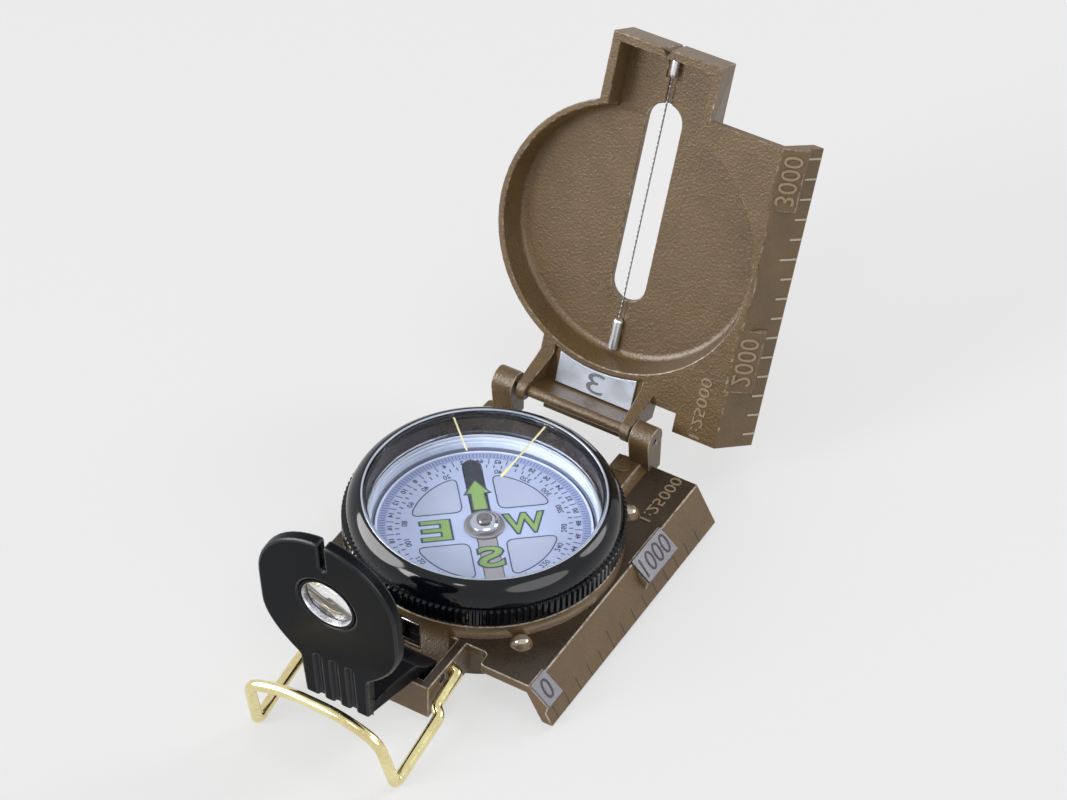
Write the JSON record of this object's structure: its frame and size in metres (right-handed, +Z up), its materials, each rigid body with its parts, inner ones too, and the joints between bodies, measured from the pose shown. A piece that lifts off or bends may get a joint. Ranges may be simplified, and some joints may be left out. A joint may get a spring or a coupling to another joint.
{
  "type": "magnetic_compass",
  "caption": "Pocket sighting compass in brown cast metal, lid open, lens bracket upright, wire thumb loop, ruled side edge",
  "frame": {"origin": "on the dial axis, on the underside of the case", "axes": "+X to the ruled edge, +Y to the lid hinge, +Z up out of the dial"},
  "size_m": [0.0579, 0.1268, 0.0804],
  "materials": {
    "brown_paint": "fine textured brown paint on cast metal, edges worn bright",
    "silver_plate": "smooth pale metal with dark numerals",
    "bezel_black": "gloss black",
    "bracket_black": "satin black",
    "bright_steel": "bright drawn steel",
    "dark_steel": "darkened steel",
    "brass_wire": "bright drawn brass wire",
    "clear": "clear polished",
    "white_plastic": "smooth white",
    "seal_rubber": "black rubber",
    "dial_print": "pale printed card",
    "magnet": "painted in two greys",
    "polished_cap": "mirror polished",
    "jewel": "polished red stone",
    "luminous": "pale luminous paint"
  },
  "bodies": {
    "case": {"base_casting": "brown_paint", "scale_plate_0": "silver_plate", "scale_plate_1000": "silver_plate", "lid_hinge_pin": "dark_steel", "bracket_hinge_pin": "dark_steel", "bezel_click_spring": "bright_steel", "capsule_cup": "white_plastic", "capsule_seal": "seal_rubber", "capsule_window": "clear", "pivot_pin": "bright_steel"},
    "dial": {"dial_card": "dial_print", "bar_magnet": "magnet", "jewel_cap": "polished_cap", "jewel_bearing": "jewel"},
    "bezel": {"bezel_ring": "bezel_black", "crystal": "clear", "long_line": "luminous", "short_line": "luminous", "bezel_snap_ring": "bright_steel"},
    "lid": {"lid_casting": "brown_paint", "number_plate": "silver_plate", "sight_wire": "bright_steel", "wire_anchor_top": "bright_steel", "wire_anchor_bottom": "bright_steel"},
    "bracket": {"lens_bracket": "bracket_black", "lens": "clear", "lens_ring": "polished_cap"},
    "loop": {"thumb_loop": "brass_wire"}
  },
  "joints": [
    {"name": "lid_hinge", "type": "hinge", "parent": "case", "child": "lid", "pos_m": [0, 0.0333, 0.015], "axis": [1, 0, 0], "range_deg": [-70.6, 109.4]},
    {"name": "bracket_hinge", "type": "hinge", "parent": "case", "child": "bracket", "pos_m": [0, -0.0327, 0.0074], "axis": [-1, 0, 0], "range_deg": [0, 95.7]},
    {"name": "loop_hinge", "type": "hinge", "parent": "case", "child": "loop", "pos_m": [0, -0.0296, 0.0071], "axis": [-1, 0, 0], "range_deg": [-105, 18]},
    {"name": "bezel_turn", "type": "hinge", "parent": "case", "child": "bezel", "pos_m": [0, 0, 0.0166], "axis": [0, 0, 1], "continuous": true},
    {"name": "dial_turn", "type": "hinge", "parent": "case", "child": "dial", "pos_m": [0, 0, 0.0112], "axis": [0, 0, 1], "continuous": true}
  ]
}
